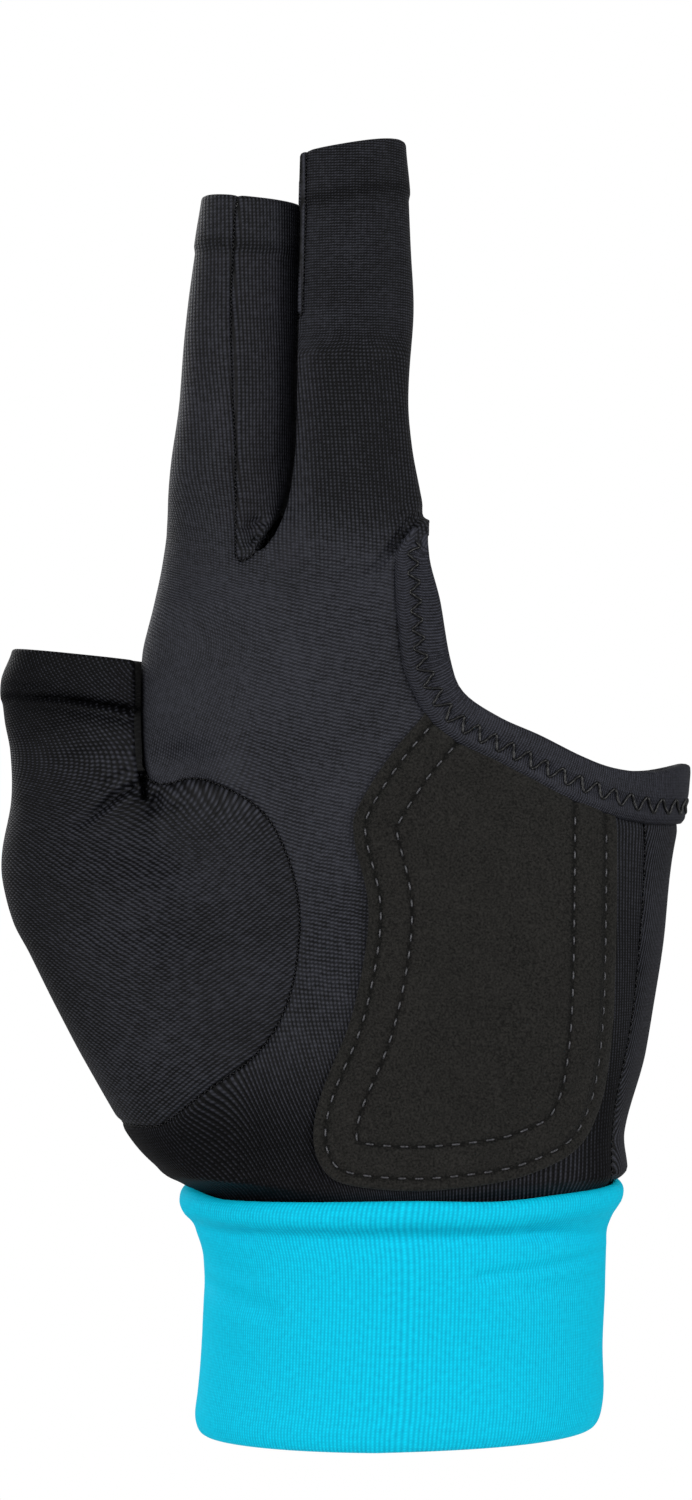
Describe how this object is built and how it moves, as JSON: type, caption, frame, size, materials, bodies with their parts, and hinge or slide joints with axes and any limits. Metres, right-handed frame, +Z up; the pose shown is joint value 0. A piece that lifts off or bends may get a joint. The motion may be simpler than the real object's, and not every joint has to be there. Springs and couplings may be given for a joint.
{
  "type": "billiard glove",
  "caption": "Left-hand stretch-knit glove with open thumb, index and middle sleeves, an open loop for the other fingers, a heel pad and a wrist cuff.",
  "frame": {"origin": "middle of the wrist cuff's lower ring, where the wrist goes in", "axes": "+Z up the hand to the fingertips, the palm faces -Y, the thumb is at -X and the little-finger edge at +X"},
  "size_m": [0.1089, 0.0443, 0.2038],
  "materials": {
    "knit": "black nylon-spandex knit with a slight sheen",
    "binding": "black folded elastic binding with zigzag stitching",
    "suede": "charcoal synthetic suede, matt, with two rows of running stitch",
    "cuff": "bright cyan double-layer stretch knit"
  },
  "bodies": {
    "root": {"palm_panel": "knit", "back_panel": "knit", "finger_gusset": "knit", "thumb_panel": "knit", "edge_binding": "binding", "heel_pad": "suede", "wrist_cuff": "cuff"}
  },
  "joints": []
}
